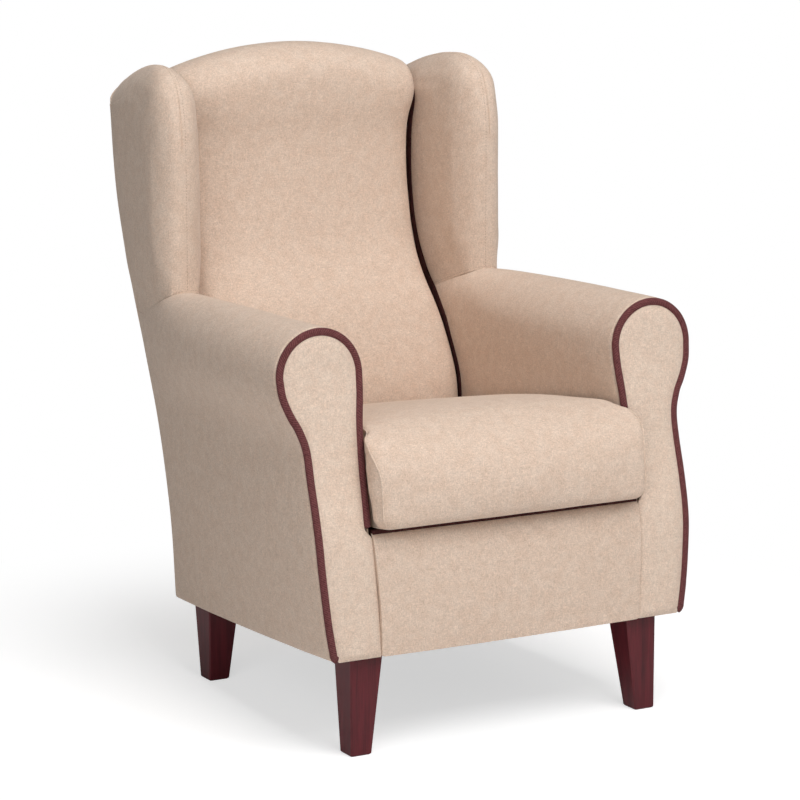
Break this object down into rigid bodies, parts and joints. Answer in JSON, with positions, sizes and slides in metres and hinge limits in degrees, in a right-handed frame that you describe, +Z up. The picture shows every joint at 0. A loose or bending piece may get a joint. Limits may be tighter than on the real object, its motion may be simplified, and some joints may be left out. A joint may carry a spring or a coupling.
{
  "type": "wing-back fireside chair",
  "caption": "Upholstered fireside chair with raked wings, piped scroll arms, an arched sloping back, a loose seat cushion and tapered wooden legs.",
  "frame": {"origin": "on the floor, under the middle of the chair's overall width and overall depth", "axes": "+Z up, the chair faces -Y, and X = 0 is its middle plane"},
  "size_m": [0.76, 0.8967, 1.052],
  "materials": {
    "cover": "soft brushed velour with a fine mottled weave, warm beige",
    "facing_cover": "the same velour, on the panels at the front of the arms",
    "piping_cover": "dark burgundy fabric over a cord",
    "stained_wood": "dark mahogany stain with a satin lacquer",
    "raw_wood": "planed softwood and beech, unfinished",
    "plywood": "sawn plywood, unfinished",
    "foam": "upholstery foam with a thin lining",
    "webbing": "woven elastic webbing",
    "lining": "thin non-woven dust cover",
    "steel": "bright drawn wire and zinc-plated fasteners"
  },
  "bodies": {
    "chair": {"right_front_leg": "stained_wood", "left_front_leg": "stained_wood", "right_rear_leg": "stained_wood", "left_rear_leg": "stained_wood", "right_front_leg_bolt": "steel", "left_front_leg_bolt": "steel", "right_rear_leg_bolt": "steel", "left_rear_leg_bolt": "steel", "right_front_corner_block": "raw_wood", "left_front_corner_block": "raw_wood", "right_rear_corner_block": "raw_wood", "left_rear_corner_block": "raw_wood", "seat_front_rail": "raw_wood", "seat_rear_rail": "raw_wood", "right_seat_side_rail": "raw_wood", "left_seat_side_rail": "raw_wood", "seat_spring_1": "steel", "seat_spring_2": "steel", "seat_spring_3": "steel", "seat_spring_4": "steel", "seat_spring_5": "steel", "deck_pad": "foam", "front_border": "cover", "dust_cover": "lining", "right_arm_pad": "cover", "left_arm_pad": "cover", "right_arm_front_board": "plywood", "left_arm_front_board": "plywood", "right_arm_rail": "raw_wood", "left_arm_rail": "raw_wood", "right_arm_facing": "facing_cover", "left_arm_facing": "facing_cover", "right_arm_piping": "piping_cover", "left_arm_piping": "piping_cover", "right_wing_inner_pad": "cover", "left_wing_inner_pad": "cover", "right_wing_outer_pad": "cover", "left_wing_outer_pad": "cover", "right_wing_board": "plywood", "left_wing_board": "plywood", "right_back_post": "raw_wood", "left_back_post": "raw_wood", "back_top_rail": "raw_wood", "back_tail_rail": "raw_wood", "back_strap_1": "webbing", "back_strap_2": "webbing", "back_strap_3": "webbing", "back_strap_4": "webbing", "back_pad": "cover", "outside_back": "cover"},
    "cushion": {"seat_cushion_cover": "cover", "seat_cushion_core": "foam"}
  },
  "joints": [
    {"name": "cushion_removal", "type": "slide", "parent": "chair", "child": "cushion", "axis": [0, -0.9936, 0.1132], "range_m": [0, 0.6]}
  ]
}
